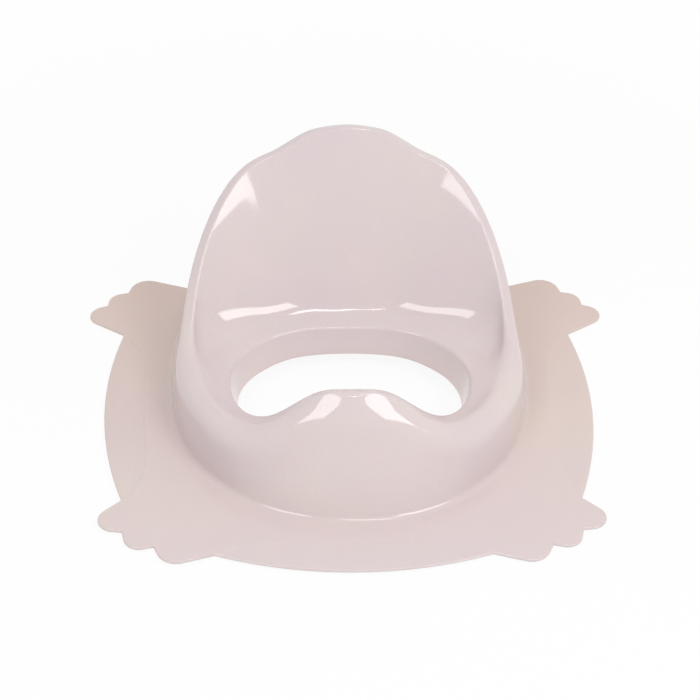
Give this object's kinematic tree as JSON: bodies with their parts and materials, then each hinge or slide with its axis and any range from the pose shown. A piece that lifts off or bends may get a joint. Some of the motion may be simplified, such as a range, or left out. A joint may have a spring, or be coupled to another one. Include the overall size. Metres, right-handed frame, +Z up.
{
  "type": "toilet seat reducer",
  "caption": "Moulded child's toilet seat reducer: flat flange with four paw-shaped corners, raised seat ring with kidney-shaped opening, splash guard, wrap-around backrest and soft grip strips.",
  "frame": {"origin": "on the ground, under the middle of the whole outline", "axes": "+Z up; the child sits facing -Y, with the backrest at +Y; +X to the right as seen from the front"},
  "size_m": [0.4052, 0.3362, 0.156],
  "materials": {
    "pearl_shell": "glossy pearly pale pink polypropylene",
    "soft_grip": "matt soft thermoplastic rubber in a like pink"
  },
  "bodies": {
    "root": {"seat_shell": "pearl_shell", "grip_strip_front": "soft_grip", "grip_strip_rear": "soft_grip", "grip_strip_left": "soft_grip", "grip_strip_right": "soft_grip"}
  },
  "joints": []
}
